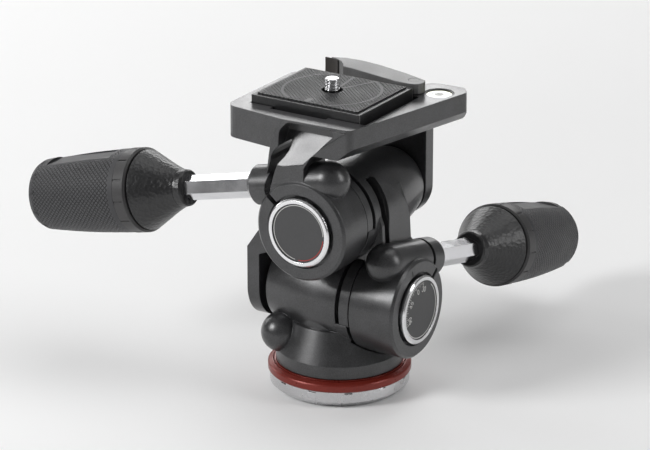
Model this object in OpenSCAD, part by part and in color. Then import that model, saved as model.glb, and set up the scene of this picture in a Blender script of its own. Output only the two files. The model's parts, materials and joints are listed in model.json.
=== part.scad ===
// Three way pan tilt head: three clamp collars on journals, quick release top, two lock handles.
// Millimetres, +Z up, origin at the centre of the base plate's bottom face.
// Pan turns about Z, the front-back tilt axis runs along X, the side tilt axis along Y.

/* [Base] */
// Diameter of the coloured base ring
base_ring_d = 60; // [56:0.5:66]
// Height of the small foot under the base band
foot_h = 2.3; // [1.5:0.1:4]
// Height of the base band
band_h = 4.6; // [3:0.1:7]
// Height of the coloured ring
red_ring_h = 4.7; // [3.5:0.1:6]
// Diameter of the pan collar at its foot
column_d = 53.4; // [50:0.1:55]
// Radius of the threaded hole in the base, 3/8 inch
thread_r = 4.76; // [3.1:0.01:5]

/* [Axes] */
// Height of the front-back tilt axis
pitch_z = 40.3; // [39:0.1:43]
// Height of the side tilt axis
roll_z = 78.3; // [78:0.1:84]
// Sideways place of the side tilt axis
roll_x = 3; // [0:0.1:6]
// Downward slope of both handles in degrees
droop = 13; // [5:0.5:25]

/* [Clamp collars] */
// Outer radius of the tilt collars
collar_r = 21; // [20:0.1:21.2]
// Radius of the journals that the collars clamp
journal_r = 13; // [11:0.1:14]
// Running clearance of journals, pins and screws
run_gap = 0.05; // [0.02:0.01:0.09]
// Outer radius of the bright end rings
end_ring_r = 14.5; // [14.2:0.1:15.5]
// Radius of the clamp screw barrels
barrel_r = 8.3; // [7.5:0.1:8.8]
// Distance of a barrel's axis from its collar's axis
barrel_off = 18.2; // [17.4:0.1:19]
// Width of the clamp slits
slit_w = 2; // [1:0.1:3]

/* [Tubes] */
// Radius of the tubes beside the collars
tube_r = 20.8; // [20:0.1:20.9]
// Radius of the tubes at their far ends
tube_end_r = 15.6; // [13:0.1:17]
// Thickness of the ears at the far ends
ear_t = 5.8; // [4:0.1:8]

/* [Top] */
// Height of the top body's upper face
top_z = 124.6; // [122:0.1:128]
// Wall height of the top body
top_t = 13.4; // [11:0.1:15]
// Plate length from left to right
plate_l = 51.6; // [48:0.1:53]
// Plate width from front to back
plate_w = 41.1; // [38:0.1:42]
// Height of the plate's frame over the top body
plate_rise = 3.5; // [2.5:0.1:5]
// Radius of the camera screw, 1/4 inch
camera_screw_r = 3.17; // [3.1:0.01:4.76]
// Height of the camera screw over the pad
camera_screw_h = 5; // [4:0.1:6]
// Radius of the bubble level
bubble_r = 6.2; // [5:0.1:7]

/* [Handles] */
// Distance across the flats of the hexagonal rods
rod_af = 9; // [8:0.1:10]
// Bare length of the rods
rod_bare = 33; // [33:0.5:50]
// Length of the grips behind the nose
grip_l = 75.5; // [70:0.5:90]
// Largest radius of the grips
grip_r = 17.8; // [15:0.1:19]

/* [Hidden] */
$fn = 96;
seat = 0.02;
step = 0.1;
air = 0.3;

band_r = base_ring_d / 2 - 0.8;
ring_r = base_ring_d / 2;
foot_r = band_r - 2.6;
ring_z = foot_h + band_h;
column_r = column_d / 2;
column_z = ring_z + red_ring_h;
spindle_r = 18;
spindle_top = column_z + 7;
thread_depth = 12;
stud_r = 5;
nut_h = 3;
nut_r = 11;

// Pitch unit, along X: tube end, groove, stop ring, seam, collar, face, end ring
pitch_end = -27.4;
pitch_groove = 10.3;
pitch_stop = 12.2;
pitch_seam = 16.9;
pitch_face = 37.6;
pitch_mid = 27.4;
// Roll unit, along -Y
roll_end = -37.3;
roll_groove = 10.6;
roll_stop = 12.9;
roll_seam = 17.2;
roll_face = 35.1;
roll_mid = 26.2;

ball_t = -13;
hub_t = 22.5;
screw_r = 4;
slit_t = 12;
ear_gap = 2.4;
rear_gap = 0.7;
pin_r = 4;
rib_r = 22.4;

// Stop windows in degrees about each journal
pitch_back = 30;
pitch_fore = 65;
side_up = 84;
side_down = 30;
lug_deg = 10;
stop_play = 1;
stop_ease = 0.5;
pitch_tab = 197;
pitch_window = pitch_back + pitch_fore + lug_deg + 2 * stop_play;
roll_window = side_up + side_down + lug_deg + 2 * stop_play;
roll_from = -6 - roll_window;

// Pan lock
pan_bar_r = 8.4;
pan_bar_z = 24;
pan_bar_x = -20;
pan_bar_turn = 5.7;
pan_bar_ball = 15;
pan_bar_hub = 19;

plate_x = -2.4;
plate_y = -2.2;
plate_z = top_z + plate_rise;
pad_h = 0.6;
screw_head_r = 7.6;
loop_r = 9.4;
loop_wire_r = 0.8;
foot_depth = 3;
foot_wing = 2.3;
pocket_floor = top_z - foot_depth - air;
loop_z = top_z - foot_depth + 1.5;
bubble_x = 30.6;
bubble_y = 27.6;
// Right edge of the slab: where it starts, how it runs, its upright band and its slope below
edge_x = 25.2;
edge_y = -33;
edge_turn = -12.4;
edge_l = 69;
edge_band = 7.3;
edge_slope = 5.8;
neck_front = -roll_face + 0.9;
neck_back = -roll_seam - 0.4;
scoop_depth = 7.7;
scoop_skin = 1;
lever_px = 20.4;
lever_py = 24.6;
lever_z0 = top_z + air;
lever_t = 4.4;
lever_skirt = 4.2;
thumb_x = -26.5;
thumb_y = 19.4;
thumb_r = 13.6;
lever_pin_r = 2.5;
plunger_x = -16;
plunger_y = 8;
plunger_r = 2;
plunger_l = 4;
plunger_travel = 1.5;

nose_t = hub_t + 1.5 + rod_bare;
cone_t = nose_t + 3.4;
cone_l = 16.8;
sleeve_t = cone_t + cone_l + 1;
sleeve_l = 6;
grip_t = sleeve_t + sleeve_l + 0.2;
grip_end = nose_t + grip_l;
rod_end_t = nose_t + 38;
cone_r = grip_r - 1;
nose_r = 7.6;

// ---------- placing ----------

module pitch_at()
  translate([0, 0, pitch_z])
    rotate([-droop, 0, 0])
      rotate([90, 0, 90])
        children();

module roll_at()
  translate([roll_x, 0, roll_z])
    mirror([1, 0, 0])
      rotate([0, droop, 0])
        rotate([90, 0, 0])
          children();

// Level frames: the same, without the droop
module pitch_axis()
  translate([0, 0, pitch_z])
    rotate([90, 0, 90])
      children();

module roll_axis()
  translate([roll_x, 0, roll_z])
    rotate([90, 0, 0])
      children();

module handle_line(mid)
  translate([0, barrel_off, mid])
    rotate([0, 90, 0])
      children();

// ---------- shared shapes ----------

module sector(r_in, r_out, h, from, sweep)
  rotate([0, 0, from])
    rotate_extrude(angle = sweep)
      translate([r_in, 0])
        square([r_out - r_in, h]);

function unit(v) = v / norm(v);
function turn(v) = atan2(v[1], v[0]);
function arc_at(p, a, b, r, n) =
  let (ua = unit(a - p), ub = unit(b - p), half = acos(ua * ub) / 2,
       c = p + unit(ua + ub) * r / sin(half), d = r / tan(half),
       t0 = turn(p + ua * d - c), sweep = sign(cross(p - a, b - p)) * (180 - 2 * half))
  [for (i = [0 : n]) c + r * [cos(t0 + sweep * i / n), sin(t0 + sweep * i / n)]];
function rounded(pts, radii, n) =
  let (k = len(pts))
  [for (i = [0 : k - 1])
    for (q = arc_at(pts[i], pts[(i + k - 1) % k], pts[(i + 1) % k], radii[i], n)) q];

// Solid collar with its clamp barrel; back and face are along the collar's axis
module clamp_solid(back, face, mid) {
  translate([0, 0, back])
    cylinder(r = collar_r, h = face - back - 1);
  translate([0, 0, face - 1])
    cylinder(r1 = collar_r, r2 = collar_r - 1, h = 1);
  handle_line(mid) {
    translate([0, 0, ball_t])
      cylinder(r = barrel_r, h = hub_t - ball_t - 1);
    translate([0, 0, hub_t - 1])
      cylinder(r1 = barrel_r, r2 = barrel_r - 1, h = 1);
    translate([0, 0, ball_t])
      sphere(r = barrel_r);
  }
  translate([ball_t, journal_r, mid - barrel_r * 0.86])
    cube([hub_t - ball_t - 6, barrel_off - journal_r, barrel_r * 1.72]);
}

// Everything cut out of a collar: bore, ring recess, screw hole and slit; up is how far the
// slit runs straight on through the barrel
module clamp_cuts(back, face, mid, up) {
  slit_from = journal_r - 2;
  slit_turn = atan((journal_r + 4) / (slit_t + slit_w / 2));
  translate([0, 0, back - 1])
    cylinder(r = journal_r + run_gap, h = face - back + 2);
  translate([0, 0, face - 2.1])
    cylinder(r = end_ring_r + 1.1, h = 3);
  handle_line(mid)
    translate([0, 0, ball_t + 3])
      cylinder(r = screw_r + run_gap, h = hub_t - ball_t);
  translate([slit_t, journal_r + 3, back - 1])
    cube([slit_w, up, face - back + 2]);
  rotate([0, 0, slit_turn])
    translate([slit_from, -slit_w / 2, back - 1])
      cube([journal_r + 7.5 - slit_from, slit_w, face - back + 2]);
}

// Smooth tapered tube from its far end (z = 0) to the groove (z = len)
module tapered_tube(l) {
  steps = 14;
  drop = tube_r - tube_end_r;
  rotate_extrude()
    polygon(concat([[0, 0], [tube_end_r - 1.2, 0]],
      [for (i = [0 : steps]) let (s = i / steps)
        [tube_r - drop * pow(1 - s, 2), 1 + (l * 0.86 - 1) * s]],
      [[tube_r, l], [0, l]]));
}

module end_ring(face)
  translate([0, 0, face])
    difference() {
      union() {
        translate([0, 0, -1.8])
          cylinder(r = end_ring_r, h = 3.2);
        translate([0, 0, 1.4])
          cylinder(r1 = end_ring_r, r2 = end_ring_r - 0.6, h = 0.6);
      }
      translate([0, 0, 0.6])
        cylinder(r = end_ring_r - 2, h = 3);
      translate([0, 0, -3])
        cylinder(r = screw_r + run_gap, h = 5);
    }

module journal(from, face)
  translate([0, 0, from])
    cylinder(r = journal_r, h = face - 1.8 - from);

// ---------- base ----------

module base_plate()
  color("silver")
    difference() {
      union() {
        cylinder(r1 = foot_r, r2 = band_r, h = foot_h);
        translate([0, 0, foot_h])
          cylinder(r = band_r, h = band_h);
      }
      translate([0, 0, -1])
        cylinder(r = thread_r, h = ring_z + 2);
      for (a = [0 : 30 : 330])
        rotate([0, 0, a + 9])
          translate([band_r - 0.7, -1.6, ring_z - 0.8])
            cube([2, 3.2, 2]);
    }

module red_ring()
  color("firebrick")
    translate([0, 0, ring_z])
      rotate_extrude()
        polygon([[spindle_r + seat, 0], [ring_r - 0.5, 0], [ring_r, 0.5],
          [ring_r, red_ring_h - 1.9], [ring_r - 0.4, red_ring_h - 1.4],
          [ring_r - 1.2, red_ring_h - 1], [column_r + 1.3, red_ring_h - 0.6],
          [column_r + 0.5, red_ring_h - 1.2], [column_r + 0.5, red_ring_h - air],
          [spindle_r + seat, red_ring_h - air]]);

module pan_spindle()
  color("dimgray")
    translate([0, 0, ring_z])
      difference() {
        union() {
          cylinder(r = spindle_r, h = spindle_top - ring_z);
          cylinder(r = stud_r, h = spindle_top - ring_z + nut_h + 0.4);
        }
        translate([0, 0, -1])
          cylinder(r = thread_r, h = thread_depth - ring_z + 1);
      }

module spindle_nut()
  color("darkgray")
    translate([0, 0, spindle_top])
      difference() {
        cylinder(r = nut_r, h = nut_h);
        translate([0, 0, -1])
          cylinder(r = stud_r + seat, h = nut_h + 2);
      }

// ---------- pan body ----------

module pan_bar()
  translate([pan_bar_x, -1.5, pan_bar_z])
    rotate([90, 0, pan_bar_turn])
      children();

module pan_body()
  color("darkslategray")
    difference() {
      union() {
        translate([0, 0, column_z])
          cylinder(r = column_r, h = 5.4);
        translate([0, 0, column_z + 5.4])
          cylinder(r1 = column_r, r2 = tube_r, h = 13);
        translate([0, 0, column_z + 12])
          cylinder(r = tube_r - 1.5, h = pitch_z - column_z - 14);
        pitch_axis() {
          translate([0, 0, pitch_end])
            tapered_tube(pitch_groove - pitch_end);
          translate([0, 0, pitch_groove - 1])
            cylinder(r = tube_r - 3, h = pitch_stop - pitch_groove + 1);
          translate([0, 0, pitch_groove - 1])
            sector(journal_r + 0.2, tube_r - step, pitch_seam - 1.6 - pitch_groove + 1,
              pitch_tab, pitch_window);
        }
        pan_bar() {
          cylinder(r = pan_bar_r, h = pan_bar_ball);
          translate([0, 0, pan_bar_ball])
            sphere(r = pan_bar_r);
          translate([0, 0, -pan_bar_hub])
            cylinder(r = pan_bar_r, h = pan_bar_hub);
        }
      }
      // Spindle room and running bore
      translate([0, 0, column_z - 1])
        cylinder(r = spindle_r + run_gap, h = 8.3);
      translate([0, 0, column_z + 7])
        cylinder(r = nut_r + 1, h = nut_h + 1);
      // Journal seat
      pitch_axis()
        translate([0, 0, -4])
          cylinder(r = journal_r + seat, h = 30);
      // Seat of the stop ring, room for the lug and saddle under the moving collar
      pitch_axis() {
        translate([0, 0, pitch_stop])
          sector(journal_r, tube_r + seat, pitch_seam - pitch_stop,
            pitch_tab + pitch_window + stop_ease, 360 - 2 * stop_ease - pitch_window);
        translate([0, 0, pitch_seam - 1.6])
          cylinder(r = collar_r + 0.4, h = 32);
      }
      // Pivot pin seat
      pitch_axis()
        translate([0, 0, pitch_end - 1])
          cylinder(r = pin_r + seat, h = 9);
      // Pan clamp screw hole, slit and cross slit
      pan_bar() {
        translate([0, 0, -pan_bar_hub - 1])
          cylinder(r = screw_r + run_gap, h = pan_bar_hub + 12);
        translate([0, 0, -pan_bar_hub - 16])
          cylinder(r = pan_bar_r + 0.5, h = 16);
      }
      translate([pan_bar_x - pan_bar_r - 6, 3, column_z - 1])
        cube([20, slit_w, 22]);
      translate([-spindle_r - 20, -7, column_z + 16.2])
        cube([28, 22, 1.2]);
    }

module pitch_journal()
  color("gray")
    pitch_axis()
      difference() {
        journal(-4, pitch_face);
        translate([0, 0, pitch_face - 12])
          cylinder(r = screw_r + run_gap, h = 14);
      }

module stop_ring(from, to, tab, sweep)
  translate([0, 0, from])
    sector(journal_r + seat, tube_r, to - from,
      tab + sweep + 2 * stop_ease, 360 - 4 * stop_ease - sweep);

module pitch_stop_ring()
  color("dimgray")
    pitch_axis()
      stop_ring(pitch_stop, pitch_seam - air, pitch_tab, pitch_window);

module pitch_end_ring()
  color("gainsboro")
    pitch_axis()
      end_ring(pitch_face);

module dial_disc(face)
  translate([0, 0, face + 0.6])
    cylinder(r = end_ring_r - 2.1, h = 0.9);

module pitch_dial()
  color("dimgray")
    pitch_axis() {
      dial_disc(pitch_face);
      for (a = [0 : 5 : 120])
        rotate([0, 0, 80 + a])
          translate([end_ring_r - (a % 15 == 0 ? 4.3 : 3.6), -0.12, pitch_face + 1.4])
            cube([(a % 15 == 0 ? 1.5 : 0.8), 0.24, 0.2]);
    }

module pitch_pivot_pin()
  color("silver")
    pitch_axis()
      translate([0, 0, pitch_end - ear_gap - ear_t + 1.6])
        cylinder(r = pin_r, h = ear_t + ear_gap + 5);

module pan_lock_screw()
  color("silver")
    pan_bar() {
      translate([0, 0, -pan_bar_hub - 6])
        cylinder(r = screw_r, h = pan_bar_hub + 16);
      translate([0, 0, -pan_bar_hub - 1.2])
        cylinder(r = pan_bar_r - 2.2, h = 0.9);
    }

module pan_lock_knob()
  color("black")
    pan_bar()
      translate([0, 0, -pan_bar_hub - 14])
        difference() {
          union() {
            translate([0, 0, 1])
              cylinder(r1 = 8.4, r2 = 7.4, h = 11.8);
            cylinder(r1 = 7.4, r2 = 8.4, h = 1);
          }
          translate([0, 0, 8])
            cylinder(r = screw_r + seat, h = 8);
          for (a = [0 : 60 : 300])
            rotate([0, 0, a])
              translate([10.4, 0, -1])
                cylinder(r = 3.1, h = 16);
        }

// ---------- tilt body ----------

module tilt_bridge() {
  left = pitch_end - ear_gap - ear_t;
  // Middle block that carries the side tilt tube
  translate([0, 14, 0])
    rotate([90, 0, 0])
      linear_extrude(height = 22)
        polygon([[left + 8, pitch_z + 14], [left + 2, pitch_z + 21], [-17.5, roll_z - 3],
          [roll_x, roll_z], [roll_x + 17.5, roll_z + 10], [25.2, roll_z - 2],
          [25.8, roll_z - 13], [33, pitch_z + 17.5], [33, pitch_z + 8],
          [pitch_seam + air + 1.5, pitch_z + 8], [pitch_seam + air + 1.5, pitch_z + 14]]);
  // Left shoulder over the ear
  translate([0, tube_end_r, 0])
    rotate([90, 0, 0])
      linear_extrude(height = 2 * tube_end_r)
        polygon([[left, pitch_z], [left, pitch_z + 18], [left + 5.5, pitch_z + 26],
          [left + 14, pitch_z + 33], [left + 19, pitch_z + 35], [left + 21, pitch_z + 22],
          [left + ear_t, pitch_z + 15.5], [left + ear_t, pitch_z]]);
}

// Broad rib that wraps the right side of the side tilt tube and runs down to the clamp barrel
module tilt_rib()
  intersection() {
    translate([roll_x, 0, 0])
      rotate([90, 0, 90])
        linear_extrude(height = 26)
          polygon([[-2.6, pitch_z + 14], [-2.6, roll_z + 16.5], [1, roll_z + 14.6],
            [6, roll_z + 10.4], [10, roll_z + 5.2], [12.6, roll_z - 0.6], [13.8, roll_z - 7],
            [14, pitch_z + 14]]);
    union() {
      roll_axis()
        translate([0, 0, -20])
          cylinder(r = rib_r, h = 30);
      translate([roll_x, -10, pitch_z + 10])
        cube([rib_r, 30, roll_z - pitch_z - 10]);
    }
  }

module tilt_body()
  color("darkslategray")
    difference() {
      union() {
        difference() {
          union() {
            difference() {
              union() {
                tilt_bridge();
                tilt_rib();
                roll_axis()
                  translate([0, 0, roll_end])
                    tapered_tube(roll_groove - roll_end);
              }
              // Dark groove in front of the rib
              roll_axis()
                translate([0, 0, 2.7])
                  sector(tube_r - 3.2, tube_r + 6, 3.4, -30, 82);
              // Room for the side stop ring beside the left shoulder
              roll_axis()
                translate([0, 0, roll_groove])
                  cylinder(r = tube_r + air, h = 10);
            }
            roll_axis() {
              translate([0, 0, roll_groove - 1])
                cylinder(r = tube_r - 3, h = roll_stop - roll_groove + 1);
              translate([0, 0, roll_groove - 1])
                sector(journal_r + 0.2, tube_r - step, roll_seam - 1.6 - roll_groove + 1,
                  roll_from, roll_window);
            }
          }
          // Room for the fixed pitch tube and its stop ring
          pitch_axis()
            translate([0, 0, pitch_end - ear_gap])
              cylinder(r = tube_r + 0.6, h = pitch_seam + 0.1 - pitch_end + ear_gap);
        }
        pitch_axis()
          translate([0, 0, pitch_end - ear_gap - ear_t])
            cylinder(r = tube_end_r, h = ear_t);
        pitch_at()
          clamp_solid(pitch_seam + air, pitch_face, pitch_mid);
        // Stop lug
        pitch_axis()
          translate([0, 0, pitch_seam - 1.2])
            sector(journal_r + 1.5, tube_r - 1.5, 2.5,
              pitch_tab + stop_play + pitch_back, lug_deg);
      }
      pitch_at()
        clamp_cuts(pitch_seam + air, pitch_face, pitch_mid, barrel_off);
      pitch_axis()
        translate([0, 0, pitch_end - ear_gap - ear_t + 1.4])
          cylinder(r = pin_r + run_gap, h = ear_t);
      roll_axis()
        translate([0, 0, -5])
          cylinder(r = journal_r + seat, h = 30);
      roll_axis()
        translate([0, 0, roll_end - 1])
          cylinder(r = pin_r + seat, h = 9);
    }

module roll_journal()
  color("gray")
    roll_axis()
      difference() {
        journal(-5, roll_face);
        translate([0, 0, roll_face - 12])
          cylinder(r = screw_r + run_gap, h = 14);
      }

module roll_stop_ring()
  color("dimgray")
    roll_axis()
      stop_ring(roll_stop, roll_seam - air, roll_from, roll_window);

module roll_end_ring()
  color("gainsboro")
    roll_axis()
      end_ring(roll_face);

module roll_disc()
  color("dimgray")
    roll_axis()
      dial_disc(roll_face);

module roll_pivot_pin()
  color("silver")
    roll_axis()
      translate([0, 0, roll_end - rear_gap - ear_t + 1.6])
        cylinder(r = pin_r, h = ear_t + rear_gap + 5);

// ---------- top body ----------

function top_outline() = rounded(
  [[-35.5, -30.6], [-6.8, -34.2], [edge_x, edge_y], [edge_x + edge_l * sin(-edge_turn), edge_y +
    edge_l * cos(edge_turn)], [36, 39.2], [21, 38.4], [14, 25], [-35.5, 22]],
  [5.5, 3, 3, 3, 2, 8, 2, 5], 5);

module top_slab()
  difference() {
    translate([0, 0, top_z - top_t])
      linear_extrude(height = top_t)
        polygon(top_outline());
    // Sloping underside along the right edge
    translate([edge_x, edge_y, top_z - top_t])
      rotate([90, 0, edge_turn])
        translate([0, 0, -edge_l - 10])
          linear_extrude(height = edge_l + 20)
            polygon([[-edge_slope, -1], [-edge_slope, 0], [1, top_t - edge_band],
              [20, top_t - edge_band], [20, -1]]);
    // Undercut at the left rear, where the underside rises
    translate([-60, 10, top_z - top_t - 1])
      cube([30, 30, 5]);
  }

// Neck seen from the front: rim at the left, lip below, sloping edge at the right
module neck_profile()
  polygon([[-13.8, roll_z + 12], [-13.6, roll_z + 22], [-12.6, roll_z + 30], [-11.9, top_z - 12],
    [-10, top_z - 6.4], [-7.1, top_z - 1], [edge_x - 1.8, top_z - 1], [13.9, top_z - 7.8],
    [8.5, top_z - 12.1], [3.9, top_z - 19.4], [3.9, roll_z + 12]]);

// Scoop in the front of the neck, above the sloping floor
module scoop()
  intersection() {
    translate([0, neck_front + scoop_depth, 0])
      rotate([90, 0, 0])
        linear_extrude(height = scoop_depth + 4)
          polygon(rounded([[-8.6, top_z - 20.6], [-7.7, top_z - 5], [-3.6, top_z - scoop_skin],
            [18.4, top_z - scoop_skin], [17.8, top_z - 3.4], [3.2, top_z - 18]],
            [0.6, 5, 3, 1.4, 1.4, 1.2], 4));
    translate([-20, 0, 0])
      rotate([90, 0, 90])
        linear_extrude(height = 50)
          polygon([[neck_front - 4, top_z - 22], [neck_front, top_z - 20],
            [neck_front + scoop_depth - 1, top_z - 8.4], [neck_front + scoop_depth, top_z - 6.6],
            [neck_front + scoop_depth, top_z], [neck_front - 4, top_z]]);
  }

// Clamp slit up through the neck, with its leaf shaped end
module neck_slit()
  translate([0, neck_back + 2, 0])
    rotate([90, 0, 0])
      linear_extrude(height = neck_back - neck_front + 4)
        polygon([[-14.5, roll_z + 14], [-14.6, roll_z + 16.8], [-13.5, roll_z + 21.9],
          [-11.8, roll_z + 27.5], [-11.6, roll_z + 29.6], [-10.4, roll_z + 32], [-8, roll_z + 34.6],
          [-5.3, roll_z + 36.2], [-4.6, roll_z + 35.3], [-4.9, roll_z + 32.4],
          [-6.2, roll_z + 29.8], [-8.4, roll_z + 26.8], [-10.1, roll_z + 22.4],
          [-11.6, roll_z + 17], [-11.9, roll_z + 14]]);

module top_neck() {
  translate([0, neck_back, 0])
    rotate([90, 0, 0])
      linear_extrude(height = neck_back - neck_front)
        neck_profile();
  // Rear ear with its bridge under the slab
  translate([0, -roll_end + rear_gap + ear_t, 0])
    rotate([90, 0, 0])
      linear_extrude(height = ear_t)
        polygon([[roll_x - tube_end_r, roll_z], [roll_x + tube_end_r, roll_z],
          [roll_x + tube_end_r, top_z - 6], [roll_x - tube_end_r, top_z - 6]]);
  translate([roll_x - tube_end_r, 14, top_z - top_t])
    cube([2 * tube_end_r, -roll_end + rear_gap + ear_t - 14, top_t - 5]);
}

module plate_pocket() {
  x0 = plate_x - plate_l / 2 - air;
  x1 = plate_x + plate_l / 2 + air;
  y0 = plate_y - plate_w / 2 - air - 0.3;
  depth = foot_depth + air;
  w = plate_w + 2 * (air + 0.3);
  translate([0, y0 + w, pocket_floor])
    rotate([90, 0, 0])
      linear_extrude(height = w)
        polygon([[x0 - foot_wing, 0], [x0, depth], [x0, depth + 1],
          [x1 + foot_wing * (depth + 1) / foot_depth, depth + 1], [x1, 0]]);
}

module top_body()
  color("darkslategray")
    difference() {
      union() {
        top_slab();
        top_neck();
        roll_at()
          clamp_solid(roll_seam + air, roll_face, roll_mid);
        roll_axis()
          translate([0, 0, roll_end - rear_gap - ear_t])
            cylinder(r = tube_end_r, h = ear_t);
        roll_axis()
          translate([0, 0, roll_seam - 1.2])
            sector(journal_r + 1.5, tube_r - 1.5, 2.5,
              roll_from + roll_window - stop_play - side_down - lug_deg, lug_deg);
      }
      roll_at()
        clamp_cuts(roll_seam + air, roll_face, roll_mid, 2.4);
      roll_axis()
        translate([0, 0, roll_end - rear_gap - ear_t + 1.4])
          cylinder(r = pin_r + run_gap, h = ear_t);
      plate_pocket();
      scoop();
      neck_slit();
      // Relief in front of the plate
      translate([-17.5, plate_y - plate_w / 2 - 2.9, top_z - 2])
        cube([26.5, 4, 3]);
      // Bubble level recess
      translate([bubble_x, bubble_y, top_z - 5])
        cylinder(r = bubble_r + seat, h = 6);
      // Lever pivot seat and plunger bore
      translate([lever_px, lever_py, top_z - 8])
        cylinder(r = lever_pin_r + seat, h = 9);
      translate([plunger_x, plunger_y, pocket_floor - plunger_l - plunger_travel - air])
        cylinder(r = plunger_r + run_gap, h = plunger_l + plunger_travel + 2);
    }

module bubble_cup()
  color("black")
    translate([bubble_x, bubble_y, top_z - 5])
      difference() {
        cylinder(r = bubble_r, h = 4.8);
        translate([0, 0, 1])
          cylinder(r = bubble_r - 0.8, h = 5);
      }

module bubble_vial()
  color("palegreen")
    translate([bubble_x, bubble_y, top_z - 4])
      cylinder(r = bubble_r - 0.8 - seat, h = 3.5);

module lever_pin()
  color("silver")
    translate([lever_px, lever_py, top_z - 8]) {
      cylinder(r = lever_pin_r, h = 8 + air + lever_t + air);
      translate([0, 0, 8 + air + lever_t + air])
        cylinder(r = lever_pin_r + 1.6, h = 0.8);
    }

function lever_outline() = rounded(
  [[26.2, 19.6], [25, 26.5], [13, 30.6], [-1, 34.2], [-11, 35.6], [-19, 35.2], [-27.4, 31.6],
   [-24.8, 26], [-10, 24.6], [15, 19.4]],
  [4.2, 2.4, 12, 14, 10, 6, 1.2, 2, 10, 4], 4);

module lever()
  color("silver")
    difference() {
      union() {
        translate([0, 0, lever_z0])
          linear_extrude(height = lever_t)
            polygon(lever_outline());
        // Deeper thumb end, behind the slab
        translate([0, 0, lever_z0 - lever_skirt])
          linear_extrude(height = lever_skirt + 1)
            intersection() {
              polygon(lever_outline());
              translate([-40, 24])
                square([26, 20]);
            }
      }
      translate([lever_px, lever_py, lever_z0 - 1])
        cylinder(r = lever_pin_r + run_gap, h = lever_t + 2);
      // Concave thumb face
      translate([thumb_x, thumb_y, lever_z0 - lever_skirt - 1])
        cylinder(r = thumb_r, h = lever_t + lever_skirt + 2);
    }

module lever_inlay()
  color("dimgray")
    translate([thumb_x, thumb_y, lever_z0 - lever_skirt + 0.4])
      rotate([0, 0, 62])
        rotate_extrude(angle = 32)
          translate([thumb_r - 0.5, 0])
            square([0.5 - seat, lever_t + lever_skirt - 0.8]);

// Spring plunger under the plate: it lets the lever snap shut
module release_plunger()
  color("goldenrod")
    translate([plunger_x, plunger_y, 0]) {
      translate([0, 0, pocket_floor - plunger_l])
        cylinder(r = plunger_r, h = plunger_l - 0.6);
      translate([0, 0, pocket_floor - 0.6])
        cylinder(r1 = plunger_r, r2 = plunger_r - 0.6, h = 0.6);
    }

// ---------- quick release plate ----------

module qr_plate()
  color("black")
    difference() {
      union() {
        translate([plate_x - plate_l / 2, plate_y - plate_w / 2, top_z - foot_depth])
          cube([plate_l, plate_w, foot_depth + plate_rise]);
        translate([0, plate_y + plate_w / 2, top_z - foot_depth])
          rotate([90, 0, 0])
            linear_extrude(height = plate_w)
              polygon([[plate_x - plate_l / 2 - foot_wing, 0],
                [plate_x - plate_l / 2 + 1, foot_depth * (1 + 1 / foot_wing)],
                [plate_x - plate_l / 2 + 1, 0]]);
      }
      translate([plate_x - plate_l / 2 + 2, plate_y - plate_w / 2 + 1.5, plate_z - 1.5])
        cube([plate_l - 4, plate_w - 3, 3]);
      translate([plate_x, plate_y, top_z - 10])
        cylinder(r = camera_screw_r + run_gap, h = 20);
      translate([plate_x, plate_y, top_z - foot_depth - 1])
        cylinder(r = 11, h = 4);
    }

module rubber_pad()
  color("dimgray")
    translate([0, 0, plate_z - 1.5])
      difference() {
        translate([plate_x - plate_l / 2 + 2 + seat, plate_y - plate_w / 2 + 1.5 + seat, 0])
          cube([plate_l - 4 - 2 * seat, plate_w - 3 - 2 * seat, 1.5 + pad_h]);
        translate([plate_x, plate_y, -1])
          cylinder(r = camera_screw_r + 1.2, h = 5);
      }

module camera_screw()
  color("silver")
    translate([plate_x, plate_y, 0]) {
      translate([0, 0, top_z - foot_depth + 1.6])
        cylinder(r = camera_screw_r - 0.6, h = plate_rise + foot_depth + pad_h);
      translate([0, 0, plate_z + pad_h + air])
        cylinder(r = camera_screw_r, h = camera_screw_h - air - 0.6);
      translate([0, 0, plate_z + pad_h + camera_screw_h - 0.6])
        cylinder(r1 = camera_screw_r, r2 = camera_screw_r - 0.6, h = 0.6);
      difference() {
        translate([0, 0, top_z - foot_depth + 0.4])
          cylinder(r = screw_head_r, h = 2.4);
        translate([0, 0, loop_z])
          loop_pins(loop_wire_r + run_gap);
      }
    }

module loop_pins(r)
  for (side = [0, 180])
    rotate([0, 90, side])
      translate([0, 0, screw_head_r - 1.6])
        cylinder(r = r, h = loop_r - screw_head_r + 1.6);

module screw_loop()
  color("silver")
    translate([plate_x, plate_y, loop_z]) {
      rotate_extrude(angle = 180)
        translate([loop_r, 0])
          circle(r = loop_wire_r);
      loop_pins(loop_wire_r);
    }

// ---------- lock handles ----------

module lock_screw()
  translate([0, 0, ball_t + 4])
    cylinder(r = screw_r, h = hub_t + 1.2 - ball_t - 4);

module hub_washer()
  translate([0, 0, hub_t + 0.3])
    difference() {
      cylinder(r1 = 6.6, r2 = 6, h = 1.2);
      translate([0, 0, -1])
        cylinder(r = screw_r + seat, h = 4);
    }

module hex_rod()
  translate([0, 0, hub_t + 1.5])
    rotate([0, 0, 15])
      cylinder(d = rod_af / cos(30), h = rod_end_t - hub_t - 1.5, $fn = 6);

module hex_bore(from, to)
  translate([0, 0, from])
    rotate([0, 0, 15])
      cylinder(d = (rod_af + 0.16) / cos(30), h = to - from, $fn = 6);

module grip_nose()
  difference() {
    translate([0, 0, nose_t]) {
      cylinder(r1 = nose_r - 0.7, r2 = nose_r, h = 0.7);
      translate([0, 0, 0.7])
        cylinder(r1 = nose_r, r2 = nose_r + 0.4, h = cone_t - nose_t - 0.7);
    }
    hex_bore(nose_t - 1, cone_t + 1);
  }

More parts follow.
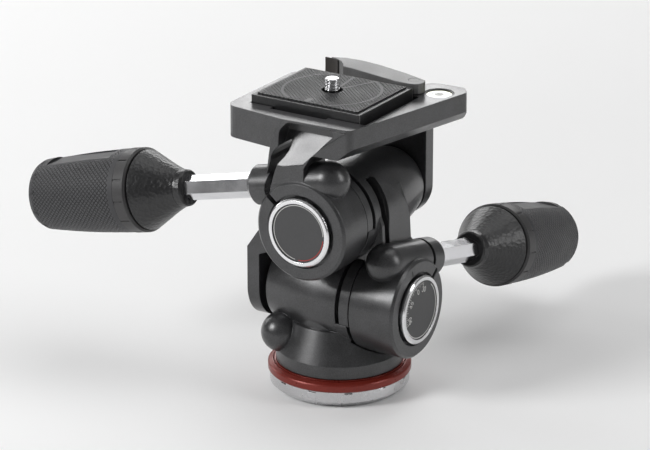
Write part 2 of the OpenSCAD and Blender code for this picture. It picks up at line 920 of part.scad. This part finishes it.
module grip_cone()
  difference() {
    rotate_extrude()
      polygon(concat([[0, cone_t]],
        [for (i = [0 : 10]) let (s = i / 10)
          [nose_r + 0.4 + (cone_r - nose_r - 0.4) * (0.75 * s + 0.5 * s * s - 0.25 * s * s * s),
           cone_t + cone_l * s]],
        [[cone_r - 0.8, sleeve_t], [0, sleeve_t]]));
    hex_bore(cone_t - 1, sleeve_t + 1);
  }

module grip_sleeve()
  difference() {
    translate([0, 0, sleeve_t]) {
      cylinder(r1 = grip_r - 0.8, r2 = grip_r, h = 0.8);
      translate([0, 0, 0.8])
        cylinder(r = grip_r, h = sleeve_l - 0.8);
    }
    for (a = [0 : 30 : 330])
      rotate([0, 0, a])
        translate([grip_r - 0.35, -0.35, sleeve_t + 1.6])
          cube([2, 0.7, sleeve_l]);
    hex_bore(sleeve_t - 1, sleeve_t + sleeve_l + 1);
  }

function grip_profile(s) = grip_r - 0.2 - 2.6 * s * s;

module grip_body()
  difference() {
    rotate_extrude()
      polygon(concat([[0, sleeve_t + sleeve_l]],
        [[grip_r - 0.6, sleeve_t + sleeve_l], [grip_r - 0.6, grip_t]],
        [for (i = [0 : 8]) let (s = i / 8)
          [grip_profile(s), grip_t + (grip_end - 3.2 - grip_t) * s]],
        [[grip_profile(1) - 0.9, grip_end - 1.3], [grip_profile(1) - 3, grip_end],
         [0, grip_end]]));
    hex_bore(sleeve_t, rod_end_t + 32);
    // Smooth inset panels
    for (a = [90, 270])
      rotate([0, 0, a])
        translate([grip_r - 1.9, -6.5, grip_t + 6])
          rotate([0, -2.6, 0])
            cube([6, 13, grip_end - grip_t - 14]);
    // Scallops around the end
    for (a = [0 : 30 : 330])
      rotate([0, 0, a + 15])
        translate([grip_profile(1) + 1.4, 0, grip_end - 5])
          cylinder(r = 2, h = 6);
  }

module pitch_handle()
  pitch_at()
    handle_line(pitch_mid)
      children();

module roll_handle()
  roll_at()
    handle_line(roll_mid)
      children();

module pitch_lock_screw() color("silver") pitch_handle() lock_screw();
module pitch_washer() color("silver") pitch_handle() hub_washer();
module pitch_rod() color("gainsboro") pitch_handle() hex_rod();
module pitch_nose() color("black") pitch_handle() grip_nose();
module pitch_cone() color("black") pitch_handle() grip_cone();
module pitch_sleeve() color("dimgray") pitch_handle() grip_sleeve();
module pitch_grip() color("dimgray") pitch_handle() grip_body();
module roll_lock_screw() color("silver") roll_handle() lock_screw();
module roll_washer() color("silver") roll_handle() hub_washer();
module roll_rod() color("gainsboro") roll_handle() hex_rod();
module roll_nose() color("black") roll_handle() grip_nose();
module roll_cone() color("black") roll_handle() grip_cone();
module roll_sleeve() color("dimgray") roll_handle() grip_sleeve();
module roll_grip() color("dimgray") roll_handle() grip_body();

base_plate();
red_ring();
pan_spindle();
spindle_nut();
pan_body();
pitch_journal();
pitch_stop_ring();
pitch_end_ring();
pitch_dial();
pitch_pivot_pin();
pan_lock_screw();
pan_lock_knob();
tilt_body();
roll_journal();
roll_stop_ring();
roll_end_ring();
roll_disc();
roll_pivot_pin();
top_body();
bubble_cup();
bubble_vial();
lever_pin();
lever();
lever_inlay();
release_plunger();
qr_plate();
rubber_pad();
camera_screw();
screw_loop();
pitch_lock_screw();
pitch_washer();
pitch_rod();
pitch_nose();
pitch_cone();
pitch_sleeve();
pitch_grip();
roll_lock_screw();
roll_washer();
roll_rod();
roll_nose();
roll_cone();
roll_sleeve();
roll_grip();
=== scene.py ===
"""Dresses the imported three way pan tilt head: materials, printed marks, threads, camera and light."""
import json
import math

import bmesh
import bpy
from mathutils import Matrix, Vector


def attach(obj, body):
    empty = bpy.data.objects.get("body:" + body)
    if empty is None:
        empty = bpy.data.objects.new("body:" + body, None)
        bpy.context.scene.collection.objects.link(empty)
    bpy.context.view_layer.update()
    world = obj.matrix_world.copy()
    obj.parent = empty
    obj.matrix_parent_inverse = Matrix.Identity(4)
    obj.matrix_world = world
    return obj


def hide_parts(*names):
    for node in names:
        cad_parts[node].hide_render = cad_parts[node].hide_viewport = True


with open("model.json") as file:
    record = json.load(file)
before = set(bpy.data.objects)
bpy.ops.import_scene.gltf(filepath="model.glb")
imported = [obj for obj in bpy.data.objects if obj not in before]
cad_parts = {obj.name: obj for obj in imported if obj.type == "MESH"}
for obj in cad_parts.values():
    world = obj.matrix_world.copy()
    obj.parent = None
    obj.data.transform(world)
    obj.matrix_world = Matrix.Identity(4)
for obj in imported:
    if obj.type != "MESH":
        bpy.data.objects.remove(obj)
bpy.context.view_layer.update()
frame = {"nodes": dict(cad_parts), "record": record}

MM = 0.001

# The part's own places, in millimetres
PITCH_Z = 40.3
ROLL_X, ROLL_Z = 3.0, 78.3
PITCH_FACE, ROLL_FACE = 37.6, 35.1
PITCH_MID, ROLL_MID = 27.4, 26.2
BARREL_OFF = 18.2
DIAL_RISE = 1.5
DROOP = math.radians(13)
TOP_Z = 124.6
PLATE_X, PLATE_Y = -2.4, -2.2
PAD_TOP = 128.7
SCREW_R, SCREW_TOP = 3.17, 133.7
GRIP_FROM, GRIP_TO = 84.4, 132.5
BUBBLE_X, BUBBLE_Y = 30.6, 27.6
LEVER_X, LEVER_Y, LEVER_TOP = 20.4, 24.6, 129.3
DIAL_TOP, DISC_TOP = PITCH_FACE + DIAL_RISE, ROLL_FACE + DIAL_RISE

# Grip texture: diamonds round and along, half width of the smooth panels, their ends, the plain borders
DIAMONDS_ROUND, DIAMONDS_ALONG = 27, 1.5
PANEL_HALF = 7.6
PANEL_START, PANEL_END = GRIP_FROM + 4.5, GRIP_TO - 6.5
BORDER_START, BORDER_END = GRIP_FROM + 2.5, GRIP_TO - 3.6

# Printed marks: how far they reach into their face and stand over it, and where they lie
PRINT_SINK, PRINT_RISE = 0.02, 0.05
PRINT_WHITE = (0.62, 0.62, 0.60)
NUMBER_ANGLES = (("30", 74), ("0", 104), ("45", 149), ("90", 194))
NUMBER_RADIUS, NUMBER_SIZE = 8.7, 2.1
DIGIT_STEP, DIGIT_GAP = 0.78, 0.18
POINTER_ANGLE, POINTER_ENDS = 104, (15.9, 18.4)
DIAL_LINE_RADIUS, DISC_LINE_RADIUS = 11.9, 11.7
PAD_ARC_RADIUS = 20.3
LEVEL_RING_RADIUS = 2.9

# The stop tab on the dial's frame: turn, distance, height and size
TAB_TURN, TAB_RADIUS, TAB_HEIGHT = math.radians(197), 20.6, 13.0
TAB_SIZE = (1.2, 1.6, 5.4)

# The camera screw: head, neck and thread
HEAD_RADIUS, HEAD_FOOT, HEAD_TOP, HEAD_BEVEL = 7.6, 122.0, 124.4, 0.3
NECK_RADIUS, NECK_TOP = 2.57, 129.0
THREAD_FROM, THREAD_TO, THREAD_PITCH = 129.05, 133.2, 1.27
THREAD_DEPTH, THREAD_STEP, THREAD_STEPS = 0.75, 0.05, 82

# The view, fitted to the photograph
TARGET = Vector((-5.20, -3.26, 69.68)) * MM
BACK = Vector((0.4973, -0.7942, 0.3492))
DISTANCE = 1.5
LENS, SENSOR = 201.33, 36.0


def spin(degrees, axis):
    return Matrix.Rotation(math.radians(degrees), 4, axis)


def shift(x, y, z):
    return Matrix.Translation((x, y, z))


# Frames in millimetres: the two round faces and the two handles
PITCH_AXIS = shift(0, 0, PITCH_Z) @ spin(90, "Z") @ spin(90, "X")
ROLL_AXIS = shift(ROLL_X, 0, ROLL_Z) @ spin(90, "X")
PITCH_HANDLE = (shift(0, 0, PITCH_Z) @ Matrix.Rotation(-DROOP, 4, "X") @ spin(90, "Z") @ spin(90, "X")
                @ shift(0, BARREL_OFF, PITCH_MID) @ spin(90, "Y"))
ROLL_HANDLE = (shift(ROLL_X, 0, ROLL_Z) @ Matrix.Scale(-1, 4, (1, 0, 0)) @ Matrix.Rotation(DROOP, 4, "Y")
               @ spin(90, "X") @ shift(0, BARREL_OFF, ROLL_MID) @ spin(90, "Y"))


# ---------- materials ----------

class Shader:
    """A small builder for procedural materials: one principled surface and what feeds it."""

    def __init__(self, name, edge=0.0):
        self.material = bpy.data.materials.new(name)
        self.material.use_nodes = True
        self.tree = self.material.node_tree
        self.surface = self.tree.nodes["Principled BSDF"]
        self.coord = self.add("ShaderNodeTexCoord")
        self.round = None
        if edge:
            self.round = self.add("ShaderNodeBevel", samples=4)
            self.round.inputs["Radius"].default_value = edge * MM
            self.link(self.round.outputs["Normal"], self.surface.inputs["Normal"])

    def add(self, kind, **values):
        node = self.tree.nodes.new(kind)
        for key, value in values.items():
            setattr(node, key, value)
        return node

    def link(self, source, target):
        self.tree.links.new(source, target)

    def feed(self, value, target):
        """A number is set on the socket, an output is linked to it."""
        if isinstance(value, (int, float)):
            target.default_value = value
        else:
            self.link(value, target)

    def math(self, operation, *values):
        node = self.add("ShaderNodeMath", operation=operation)
        for value, target in zip(values, node.inputs):
            self.feed(value, target)
        return node.outputs[0]

    def noise(self, scale, detail=2.0, rough=0.5, stretch=(1, 1, 1)):
        mapping = self.add("ShaderNodeMapping")
        mapping.inputs["Scale"].default_value = stretch
        self.link(self.coord.outputs["Object"], mapping.inputs["Vector"])
        noise = self.add("ShaderNodeTexNoise")
        noise.inputs["Scale"].default_value = scale
        noise.inputs["Detail"].default_value = detail
        noise.inputs["Roughness"].default_value = rough
        self.link(mapping.outputs["Vector"], noise.inputs["Vector"])
        return noise.outputs["Fac"]

    def cells(self, scale):
        cell = self.add("ShaderNodeTexVoronoi")
        cell.inputs["Scale"].default_value = scale
        self.link(self.coord.outputs["Object"], cell.inputs["Vector"])
        return cell.outputs["Distance"]

    def remap(self, value, low, high, to_low, to_high):
        node = self.add("ShaderNodeMapRange")
        for key, number in (("From Min", low), ("From Max", high), ("To Min", to_low), ("To Max", to_high)):
            node.inputs[key].default_value = number
        self.link(value, node.inputs["Value"])
        return node.outputs["Result"]

    def ramp(self, value, stops):
        ramp = self.add("ShaderNodeValToRGB")
        elements = ramp.color_ramp.elements
        while len(elements) < len(stops):
            elements.new(0.5)
        for element, (place, colour) in zip(elements, stops):
            element.position = place
            element.color = (*colour, 1)
        self.link(value, ramp.inputs["Fac"])
        return ramp.outputs["Color"]

    def colours(self, value, stops):
        self.link(self.ramp(value, stops), self.surface.inputs["Base Color"])

    def mix_over(self, mask, colour):
        """Lays a colour over the base colour where the mask is one."""
        base = self.surface.inputs["Base Color"]
        mix = self.add("ShaderNodeMix", data_type="RGBA")
        self.link(mask, mix.inputs[0])
        self.link(base.links[0].from_socket, mix.inputs[6])
        mix.inputs[7].default_value = (*colour, 1)
        self.link(mix.outputs[2], base)

    def bump(self, height, distance, strength=1.0):
        node = self.add("ShaderNodeBump")
        node.inputs["Distance"].default_value = distance
        node.inputs["Strength"].default_value = strength
        self.link(height, node.inputs["Height"])
        last = self.surface.inputs["Normal"]
        if last.is_linked:
            self.link(last.links[0].from_socket, node.inputs["Normal"])
        self.link(node.outputs["Normal"], last)

    def local(self, matrix):
        """The point in a frame given in millimetres, as three outputs in millimetres."""
        inverse = matrix.inverted()
        out = []
        for row in inverse[:3]:
            dot = self.add("ShaderNodeVectorMath", operation="DOT_PRODUCT")
            self.link(self.coord.outputs["Object"], dot.inputs[0])
            dot.inputs[1].default_value = [part / MM for part in row[:3]]
            out.append(self.math("ADD", dot.outputs["Value"], row[3]))
        return out

    def lattice(self, a, b):
        """Raised diamonds between two families of grooves; one on top, zero in a groove."""
        first = self.math("ABSOLUTE", self.math("SINE", self.math("ADD", a, b)))
        second = self.math("ABSOLUTE", self.math("SINE", self.math("SUBTRACT", a, b)))
        return self.remap(self.math("MINIMUM", first, second), 0.05, 0.6, 0, 1)

    def painted_edge_highlight(self, colour, amount):
        """Painted highlight: lighter where the rounded normal leaves the flat one."""
        flat = self.add("ShaderNodeNewGeometry")
        dot = self.add("ShaderNodeVectorMath", operation="DOT_PRODUCT")
        self.link(self.round.outputs["Normal"], dot.inputs[0])
        self.link(flat.outputs["Normal"], dot.inputs[1])
        edge = self.remap(dot.outputs["Value"], 0.995, 0.90, 0, amount)
        self.mix_over(self.math("MULTIPLY", edge, self.noise(700, 3)), colour)


def tint(colour, factor):
    return tuple(min(1.0, part * factor) for part in colour)


def surface(name, colour, rough, metal=0.0, grain=2500, depth=0.03, spread=0.12, blotch=90, coat=0.0,
            stretch=(1, 1, 1), rough_spread=0.06, specular=0.5, edge=0.35):
    """Colour with fine grain, slow blotches of wear in colour and roughness, and a grain bump."""
    s = Shader(name, edge)
    fine = s.noise(grain, 3.0, 0.6, stretch)
    slow = s.noise(blotch, 4.0, 0.55)
    both = s.math("ADD", s.math("MULTIPLY", fine, 0.6), s.math("MULTIPLY", slow, 0.4))
    s.colours(both, [(0.35, tint(colour, 1 - spread)), (0.65, tint(colour, 1 + spread))])
    s.link(s.remap(slow, 0.3, 0.7, rough - rough_spread, rough + rough_spread),
           s.surface.inputs["Roughness"])
    s.surface.inputs["Metallic"].default_value = metal
    s.surface.inputs["Coat Weight"].default_value = coat
    s.surface.inputs["Coat Roughness"].default_value = 0.25
    s.surface.inputs["Specular IOR Level"].default_value = specular
    s.bump(fine, depth * MM)
    return s


def grip_surface(name, handle):
    """Rubber with raised diamonds round the grip and two smooth panels along it; painted shade in the grooves
    and a painted highlight on the diamond tops.
    """
    s = surface(name, (0.030, 0.030, 0.033), 0.50, grain=2600, depth=0.02, spread=0.2, edge=0.4)
    x, y, z = s.local(handle)
    angle = s.math("MULTIPLY", s.math("ARCTAN2", y, x), DIAMONDS_ROUND)
    along = s.math("MULTIPLY", z, DIAMONDS_ALONG)
    pattern = s.lattice(angle, along)
    across = s.math("GREATER_THAN", s.math("ABSOLUTE", x), PANEL_HALF)
    ends = s.math("ADD", s.math("LESS_THAN", z, PANEL_START), s.math("GREATER_THAN", z, PANEL_END))
    keep = s.math("MULTIPLY", s.math("MAXIMUM", across, s.math("MINIMUM", ends, 1)),
                  s.math("MULTIPLY", s.math("GREATER_THAN", z, BORDER_START),
                         s.math("LESS_THAN", z, BORDER_END)))
    height = s.math("ADD", s.math("MULTIPLY", pattern, keep), s.math("SUBTRACT", 1, keep))
    # painted shade: the grooves between the diamonds darkened
    s.mix_over(s.math("MULTIPLY", s.math("SUBTRACT", 1, height), 0.8), (0.008, 0.008, 0.009))
    # painted highlight: the tops of the raised diamonds lightened
    s.mix_over(s.math("MULTIPLY", s.math("POWER", s.math("MULTIPLY", height, keep), 3), 0.35),
               (0.11, 0.11, 0.115))
    s.bump(height, 0.35 * MM)
    return s


def cone_surface():
    """Pebbled black shell of the grip cones."""
    s = surface("cone", (0.014, 0.014, 0.015), 0.34, grain=2200, depth=0.02, spread=0.3, specular=0.6)
    s.bump(s.cells(620), 0.16 * MM)
    s.bump(s.noise(1300, 2), 0.10 * MM)
    return s


def pad_surface():
    """Rubber pad with a small diamond texture and painted shade in its grooves."""
    s = surface("pad", (0.050, 0.050, 0.052), 0.5, grain=2600, depth=0.02, spread=0.2)
    x, y, _ = s.local(shift(PLATE_X, PLATE_Y, PAD_TOP))
    height = s.lattice(s.math("MULTIPLY", x, 1.55), s.math("MULTIPLY", y, 1.75))
    # painted shade: the grooves between the diamonds darkened
    s.mix_over(s.math("MULTIPLY", s.math("SUBTRACT", 1, height), 0.95), (0.004, 0.004, 0.004))
    s.bump(height, 0.45 * MM)
    return s


def dial_surface():
    """Dial face whose raised scale marks are printed white."""
    s = surface("dial", (0.055, 0.055, 0.057), 0.45, grain=2800, depth=0.012, spread=0.12, edge=0.2)
    _, _, z = s.local(PITCH_AXIS)
    s.mix_over(s.math("GREATER_THAN", z, DIAL_TOP + PRINT_RISE), PRINT_WHITE)
    return s


def vial_surface():
    """Pale green liquid under a clear glossy top."""
    s = Shader("vial")
    slow = s.noise(300, 2.0)
    s.colours(slow, [(0.3, (0.42, 0.44, 0.24)), (0.7, (0.54, 0.55, 0.34))])
    s.link(s.remap(slow, 0.3, 0.7, 0.06, 0.12), s.surface.inputs["Roughness"])
    s.surface.inputs["Coat Weight"].default_value = 1.0
    s.bump(slow, 0.005 * MM)
    return s


def plate_surface():
    """Black coating with a painted highlight on its edges."""
    s = surface("plate", (0.020, 0.020, 0.021), 0.36, 0.2, grain=1500, depth=0.05, spread=0.35, edge=0.5)
    # painted highlight: light grey laid over the black on the rounded edges
    s.painted_edge_highlight((0.42, 0.42, 0.42), 1.3)
    return s


MATERIALS = {
    "body": surface("body_satin", (0.034, 0.034, 0.036), 0.34, 0.3, grain=2300, depth=0.045, spread=0.6,
                    specular=0.8, coat=0.35, edge=0.6),
    "base_silver": surface("base_silver", (0.62, 0.62, 0.63), 0.26, 0.95, grain=900, depth=0.01,
                           spread=0.05),
    "ring_red": surface("ring_red", (0.20, 0.022, 0.014), 0.30, 0.3, grain=1800, depth=0.012, spread=0.16),
    "steel": surface("steel", (0.58, 0.58, 0.59), 0.24, 1.0, grain=1400, depth=0.008, spread=0.06),
    "bright_ring": surface("bright_ring", (0.80, 0.80, 0.81), 0.20, 1.0, grain=1200, depth=0.004,
                           spread=0.04, edge=0.3),
    "dial": dial_surface(),
    "knob": surface("knob", (0.014, 0.014, 0.015), 0.42, 0.0, grain=2200, depth=0.03, spread=0.2, edge=0.5),
    "lever": surface("lever", (0.20, 0.20, 0.20), 0.46, 0.55, grain=1500, depth=0.02, spread=0.12,
                     edge=0.5),
    "inlay": surface("inlay", (0.035, 0.030, 0.027), 0.6, 0.1, grain=2000, depth=0.03, spread=0.2),
    "brass": surface("brass", (0.60, 0.42, 0.15), 0.3, 1.0, grain=1500, depth=0.01, spread=0.1),
    "plate": plate_surface(),
    "pad": pad_surface(),
    "rod": surface("rod", (0.78, 0.78, 0.80), 0.16, 1.0, grain=500, depth=0.006, spread=0.05, edge=0.3,
                   stretch=(0.3, 0.3, 1)),
    "cone": cone_surface(),
    "sleeve": surface("sleeve", (0.036, 0.035, 0.036), 0.42, 0.0, grain=1500, depth=0.02, spread=0.2),
    "pitch_grip": grip_surface("grip_right", PITCH_HANDLE),
    "roll_grip": grip_surface("grip_left", ROLL_HANDLE),
    "vial": vial_surface(),
    "print_white": surface("print_white", PRINT_WHITE, 0.5, grain=3000, depth=0.004, spread=0.06,
                           edge=0.0),
    "print_red": surface("print_red", (0.42, 0.03, 0.025), 0.5, grain=3000, depth=0.004, spread=0.08,
                         edge=0.0),
    "mark_dark": surface("mark_dark", (0.006, 0.006, 0.006), 0.6, grain=3000, depth=0.004, spread=0.2,
                         edge=0.0),
    "pad_bars": surface("pad_bars", (0.075, 0.075, 0.078), 0.5, grain=2600, depth=0.02, spread=0.15,
                        edge=0.0),
}
OWN = {"pitch_grip": "pitch_grip", "roll_grip": "roll_grip", "pitch_sleeve": "sleeve",
       "roll_sleeve": "sleeve"}

for part in frame["record"]["subparts"]:
    mesh = frame["nodes"][part["node"]].data
    key = OWN.get(part["node"], part["material_slot"])
    mesh.materials.clear()
    mesh.materials.append(MATERIALS[key].material)


# ---------- pieces made here ----------

def piece(name, bm, place, material, body):
    """A mesh built in millimetres in a frame, turned into an object that rides on a body."""
    bmesh.ops.recalc_face_normals(bm, faces=bm.faces)
    bm.transform(Matrix.Scale(MM, 4) @ place)
    mesh = bpy.data.meshes.new(name)
    bm.to_mesh(mesh)
    bm.free()
    mesh.materials.append(MATERIALS[material].material)
    obj = bpy.data.objects.new(name, mesh)
    bpy.context.scene.collection.objects.link(obj)
    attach(obj, body)
    return obj


def ribbon(bm, path, width, low, high):
    """A flat band along a path in the xy plane, from low to high in z."""
    rows = []
    last = len(path) - 1
    for i, point in enumerate(path):
        along = (Vector(path[min(i + 1, last)]) - Vector(path[max(i - 1, 0)])).normalized()
        side = Vector((-along.y, along.x)) * (width / 2)
        left, right = Vector(point) + side, Vector(point) - side
        rows.append([bm.verts.new((*xy, z)) for xy, z in
                     ((left, low), (right, low), (right, high), (left, high))])
    for a, b in zip(rows, rows[1:]):
        for k in range(4):
            bm.faces.new((a[k], a[(k + 1) % 4], b[(k + 1) % 4], b[k]))
    bm.faces.new(rows[0])
    bm.faces.new(rows[-1])


def arc(cx, cy, r, start, stop, steps=24):
    """Points of an arc, with its ends in degrees."""
    return [(cx + r * math.cos(math.radians(start + (stop - start) * i / steps)),
             cy + r * math.sin(math.radians(start + (stop - start) * i / steps))) for i in range(steps + 1)]


def bands(name, paths, width, face, place, material, body, rise=PRINT_RISE, sink=PRINT_SINK):
    """Flat bands printed on a face that lies at the height given."""
    bm = bmesh.new()
    for path in paths:
        ribbon(bm, path, width, face - sink, face + rise)
    return piece(name, bm, place, material, body)


def figure(digit):
    """Strokes of one digit in a cell 0.6 wide and 1 high."""
    if digit == "0":
        return [[(0.3 + 0.27 * math.cos(t * math.pi / 10), 0.5 + 0.5 * math.sin(t * math.pi / 10))
                 for t in range(21)]]
    if digit == "3":
        return [arc(0.27, 0.76, 0.24, 160, -80, 10) + arc(0.27, 0.26, 0.27, 80, -160, 10)]
    if digit == "4":
        return [[(0.44, 0.0), (0.44, 1.0)], [(0.44, 1.0), (0.0, 0.3), (0.6, 0.3)]]
    if digit == "5":
        return [[(0.54, 1.0), (0.1, 1.0), (0.07, 0.56)], [(0.07, 0.56)] + arc(0.27, 0.31, 0.30, 110, -145, 12)]
    # what is left is the nine
    return [arc(0.3, 0.7, 0.28, 0, 360, 16), [(0.58, 0.7), (0.54, 0.3), (0.36, 0.02), (0.1, 0.08)]]


def number_at(text, angle, radius, size):
    """Strokes of a number whose foot points to the centre."""
    turn = math.radians(angle - 90)
    width = DIGIT_STEP * len(text) - DIGIT_GAP
    paths = []
    for place, digit in enumerate(text):
        for stroke in figure(digit):
            path = []
            for x, y in stroke:
                u, v = (x + DIGIT_STEP * place - width / 2) * size, radius + (y - 0.5) * size
                path.append((u * math.cos(turn) - v * math.sin(turn),
                             u * math.sin(turn) + v * math.cos(turn)))
            paths.append(path)
    return paths


# The tilt dial: plain degree numbers, a line round the rest of the face and the pointer on the collar
numbers = []
for text, angle in NUMBER_ANGLES:
    numbers += number_at(text, angle, NUMBER_RADIUS, NUMBER_SIZE)
bands("dial_numbers", numbers, 0.30, DIAL_TOP, PITCH_AXIS, "print_white", "pan")
bands("dial_line", [arc(0, 0, DIAL_LINE_RADIUS, 208, 408, 60)], 0.36, DIAL_TOP, PITCH_AXIS, "print_white",
      "pan")
pointer = [(r * math.cos(math.radians(POINTER_ANGLE)), r * math.sin(math.radians(POINTER_ANGLE)))
           for r in POINTER_ENDS]
bands("dial_pointer", [pointer], 0.75, PITCH_FACE, PITCH_AXIS, "mark_dark", "tilt")

# Light edge of the fixed stop tab, seen at the foot of the groove
tab = bmesh.new()
bmesh.ops.create_cube(tab, size=1, matrix=shift(TAB_RADIUS * math.cos(TAB_TURN),
                                                TAB_RADIUS * math.sin(TAB_TURN), TAB_HEIGHT)
                      @ Matrix.Rotation(TAB_TURN, 4, "Z") @ Matrix.Diagonal((*TAB_SIZE, 1)))
piece("stop_tab", tab, PITCH_AXIS, "body", "pan")

# The side disc: bare, with a pale line over three quarters and a red one in the rest
bands("disc_line", [arc(0, 0, DISC_LINE_RADIUS, 3, 262, 80)], 0.26, DISC_TOP, ROLL_AXIS, "print_white",
      "tilt")
bands("disc_line_red", [arc(0, 0, DISC_LINE_RADIUS, 270, 354, 30)], 0.34, DISC_TOP, ROLL_AXIS, "print_red",
      "tilt")

# Smooth bars on the rubber pad: two arcs, two legs from the screw to the rear edge, a short front bar.
# The legs and the bar stand a little higher than the arcs that they cross.
PAD = shift(PLATE_X, PLATE_Y, 0)
bands("pad_arcs", [arc(0, 0, PAD_ARC_RADIUS, 118, 242, 40), arc(0, 0, PAD_ARC_RADIUS, -62, 62, 40)], 1.1,
      PAD_TOP, PAD, "pad_bars", "plate")
bands("pad_legs", [[(2.9, 3.6), (9.6, 18.6)], [(0.9, 4.6), (-1.0, 18.6)]], 1.3, PAD_TOP, PAD, "pad_bars",
      "plate", rise=0.06)
bands("pad_front_bar", [[(-1, -18.8), (-1, -14.2)]], 2.4, PAD_TOP, PAD, "pad_bars", "plate",
      rise=0.07)


def turned(name, rings, place, material, body, sides=64, radius_of=None):
    """A turned solid from (radius, height) rings; radius_of may vary the radius round a ring."""
    bm = bmesh.new()
    loops = []
    for r, z in rings:
        loop = []
        for k in range(sides):
            radius = radius_of(r, z, k / sides) if radius_of else r
            turn = 2 * math.pi * k / sides
            loop.append(bm.verts.new((radius * math.cos(turn), radius * math.sin(turn), z)))
        loops.append(loop)
    for a, b in zip(loops, loops[1:]):
        for k in range(sides):
            bm.faces.new((a[k], a[(k + 1) % sides], b[(k + 1) % sides], b[k]))
    bm.faces.new(loops[0])
    bm.faces.new(loops[-1])
    for face in bm.faces:
        face.smooth = len(face.verts) == 4
    return piece(name, bm, place, material, body)


# The camera screw with its thread, for the plain one of the solids
def thread_radius(r, z, part):
    """Cuts one thread start into the radius, fading out at both ends."""
    if not THREAD_FROM < z < THREAD_TO:
        return r
    wave = abs((((z - THREAD_FROM) / THREAD_PITCH - part) % 1) * 2 - 1)
    fade = min(1.0, (z - THREAD_FROM) / 0.4, (THREAD_TO - z) / 0.3)
    return r - THREAD_DEPTH * fade * (1 - wave)


screw_rings = [(HEAD_RADIUS - HEAD_BEVEL, HEAD_FOOT), (HEAD_RADIUS, HEAD_FOOT + HEAD_BEVEL),
               (HEAD_RADIUS, HEAD_TOP - HEAD_BEVEL), (HEAD_RADIUS - HEAD_BEVEL, HEAD_TOP),
               (NECK_RADIUS, HEAD_TOP), (NECK_RADIUS, NECK_TOP), (SCREW_R, THREAD_FROM)]
screw_rings += [(SCREW_R, THREAD_FROM + THREAD_STEP * k) for k in range(1, THREAD_STEPS + 1)]
screw_rings += [(SCREW_R, THREAD_TO), (NECK_RADIUS, SCREW_TOP)]
screw = turned("camera_screw_threaded", screw_rings, PAD, "steel", "camera_bolt",
               radius_of=thread_radius)
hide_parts("camera_screw")

# The lever's pin, flush with the lever
pin = turned("lever_pin_flush", [(2.5, TOP_Z - 8), (2.5, LEVER_TOP - 0.25), (2.3, LEVER_TOP - 0.05)],
             shift(LEVER_X, LEVER_Y, 0), "lever", "top")
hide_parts("lever_pin")

# Ring and bubble of the level
VIAL = shift(BUBBLE_X, BUBBLE_Y, TOP_Z - 0.5)
bands("level_ring", [arc(0, 0, LEVEL_RING_RADIUS, 0, 360, 48)], 0.28, 0, VIAL, "mark_dark", "top",
      rise=0.04, sink=0.01)
turned("level_bubble", [(2.0, 0.0), (1.8, 0.08), (1.2, 0.16), (0.5, 0.2)], VIAL, "print_white", "top")

# ---------- floor, light, camera ----------

bpy.ops.mesh.primitive_plane_add(size=6, location=(0, 0, -0.0004))
floor = bpy.context.object
floor.name = "floor"
floor_shader = Shader("floor_pale")
floor_shader.colours(floor_shader.noise(3, 2), [(0.3, (0.88, 0.88, 0.88)), (0.7, (0.90, 0.90, 0.90))])
floor_shader.surface.inputs["Roughness"].default_value = 0.85
floor_shader.surface.inputs["Specular IOR Level"].default_value = 0.0
floor.data.materials.append(floor_shader.material)

world = bpy.data.worlds.new("studio")
bpy.context.scene.world = world
world.use_nodes = True
world.node_tree.nodes["Background"].inputs["Color"].default_value = (1, 1, 1, 1)
world.node_tree.nodes["Background"].inputs["Strength"].default_value = 0.20


def softbox(name, place, aim, size, watts):
    """A rectangular area light turned to a point."""
    data = bpy.data.lights.new(name, "AREA")
    data.shape = "RECTANGLE"
    data.size, data.size_y = size
    data.energy = watts
    light = bpy.data.objects.new(name, data)
    bpy.context.scene.collection.objects.link(light)
    light.location = place
    light.rotation_euler = (Vector(aim) - Vector(place)).to_track_quat("-Z", "Y").to_euler()


CENTRE = (0, 0, 0.08)
softbox("key", (-0.60, -0.84, 0.69), CENTRE, (0.40, 0.40), 8)
softbox("back", (-0.65, 1.03, 0.54), CENTRE, (1.1, 0.35), 5.2)
softbox("rim", (0.95, 0.25, 0.55), CENTRE, (0.30, 0.60), 3)
softbox("left", (-1.0, 0.15, 0.45), CENTRE, (0.30, 0.50), 1.6)

sky = bpy.data.lights.new("sky", "SUN")
sky.energy = 0.72
sky.angle = math.radians(50)
sky_light = bpy.data.objects.new("sky", sky)
bpy.context.scene.collection.objects.link(sky_light)
sky_light.rotation_euler = Vector((0.1, 0.3, 1.0)).to_track_quat("Z", "Y").to_euler()

camera_data = bpy.data.cameras.new("camera")
camera_data.lens = LENS
camera_data.sensor_width = SENSOR
camera = bpy.data.objects.new("camera", camera_data)
bpy.context.scene.collection.objects.link(camera)
camera.location = TARGET + BACK.normalized() * DISTANCE
camera.rotation_euler = (-BACK).to_track_quat("-Z", "Y").to_euler()
bpy.context.scene.camera = camera
bpy.context.scene.view_settings.view_transform = "Standard"
